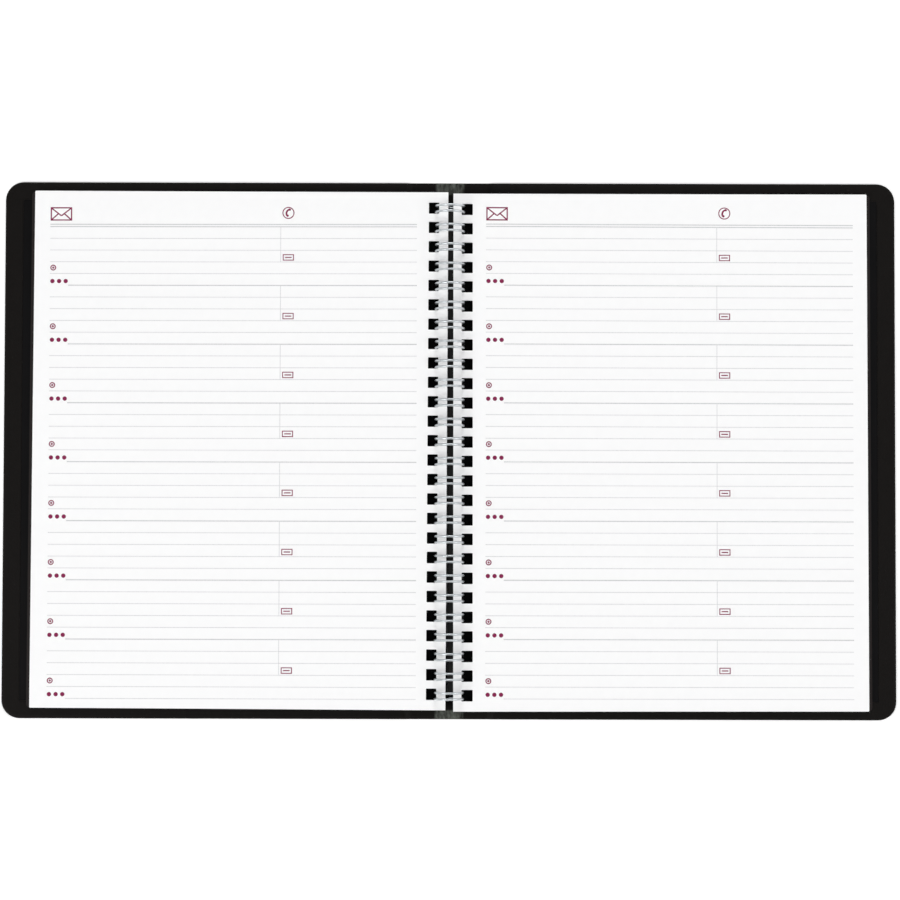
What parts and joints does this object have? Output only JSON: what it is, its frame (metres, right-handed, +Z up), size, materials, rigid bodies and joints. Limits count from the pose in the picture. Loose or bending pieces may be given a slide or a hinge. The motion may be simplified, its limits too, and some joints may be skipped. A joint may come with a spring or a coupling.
{
  "type": "monthly planner",
  "caption": "Wire-bound planner lying open flat: a wraparound leatherette cover, punched ruled leaves on a twin-loop wire comb, and creases and leaves that turn.",
  "frame": {"origin": "on the table, under the middle of the spine and halfway up the page", "axes": "+X to the reader's right across both pages, +Y up the page, +Z up from the table"},
  "size_m": [0.3894, 0.2344, 0.0139],
  "materials": {
    "cover_leatherette": "black grained simulated leather, low sheen",
    "cover_board": "grey-brown stiffening board, matt",
    "cover_lining": "black lining sheet, matt",
    "end_sheet": "black smooth card, slight sheen",
    "ruled_paper": "white uncoated paper with grey ruling and crimson marks",
    "binding_wire": "bright silver wire"
  },
  "bodies": {
    "back_cover": {"back_cover_skin": "cover_leatherette", "back_cover_board": "cover_board", "back_cover_lining": "cover_lining"},
    "spine": {"spine_skin": "cover_leatherette", "spine_lining": "cover_lining", "binding_flap": "cover_lining", "wire_comb": "binding_wire"},
    "front_cover": {"front_cover_skin": "cover_leatherette", "front_cover_board": "cover_board", "front_cover_lining": "cover_lining"},
    "left_pages": {"left_end_sheet": "end_sheet", "left_leaf_4": "ruled_paper", "left_leaf_3": "ruled_paper"},
    "left_leaf_under": {"left_leaf_2": "ruled_paper"},
    "left_leaf_top": {"left_leaf_1": "ruled_paper"},
    "right_end": {"right_end_sheet": "end_sheet"},
    "right_pages": {"right_leaf_4": "ruled_paper", "right_leaf_3": "ruled_paper"},
    "right_leaf_under": {"right_leaf_2": "ruled_paper"},
    "right_leaf_top": {"right_leaf_1": "ruled_paper"}
  },
  "joints": [
    {"name": "back_crease", "type": "hinge", "parent": "back_cover", "child": "spine", "pos_m": [0.0077, 0, 0.0002], "axis": [0, 1, 0], "range_deg": [0, 90]},
    {"name": "front_crease", "type": "hinge", "parent": "spine", "child": "front_cover", "pos_m": [-0.0077, 0, 0.0002], "axis": [0, 1, 0], "range_deg": [0, 91.6]},
    {"name": "left_pages_follow", "type": "hinge", "parent": "spine", "child": "left_pages", "pos_m": [-0.0012, 0, 0.0064], "axis": [0, 1, 0], "range_deg": [0, 91.6]},
    {"name": "right_end_follow", "type": "hinge", "parent": "spine", "child": "right_end", "pos_m": [0.0012, 0, 0.0064], "axis": [0, -1, 0], "range_deg": [0, 90]},
    {"name": "right_pages_turn", "type": "hinge", "parent": "right_end", "child": "right_pages", "pos_m": [0, 0, 0.0076], "axis": [0, 1, 0], "range_deg": [-181.6, 0]},
    {"name": "right_under_turn", "type": "hinge", "parent": "right_pages", "child": "right_leaf_under", "pos_m": [0, 0, 0.0076], "axis": [0, 1, 0], "range_deg": [-178.4, 0]},
    {"name": "right_top_turn", "type": "hinge", "parent": "right_leaf_under", "child": "right_leaf_top", "pos_m": [0, 0, 0.0076], "axis": [0, 1, 0], "range_deg": [-181.6, 0]},
    {"name": "left_under_turn", "type": "hinge", "parent": "left_pages", "child": "left_leaf_under", "pos_m": [0, 0, 0.0076], "axis": [0, -1, 0], "range_deg": [-181.6, 0]},
    {"name": "left_top_turn", "type": "hinge", "parent": "left_leaf_under", "child": "left_leaf_top", "pos_m": [0, 0, 0.0076], "axis": [0, -1, 0], "range_deg": [-178.4, 0]}
  ],
  "couplings": [
    {"joint": "left_pages_follow", "follows": "front_crease", "ratio": 1},
    {"joint": "right_end_follow", "follows": "back_crease", "ratio": 1}
  ]
}
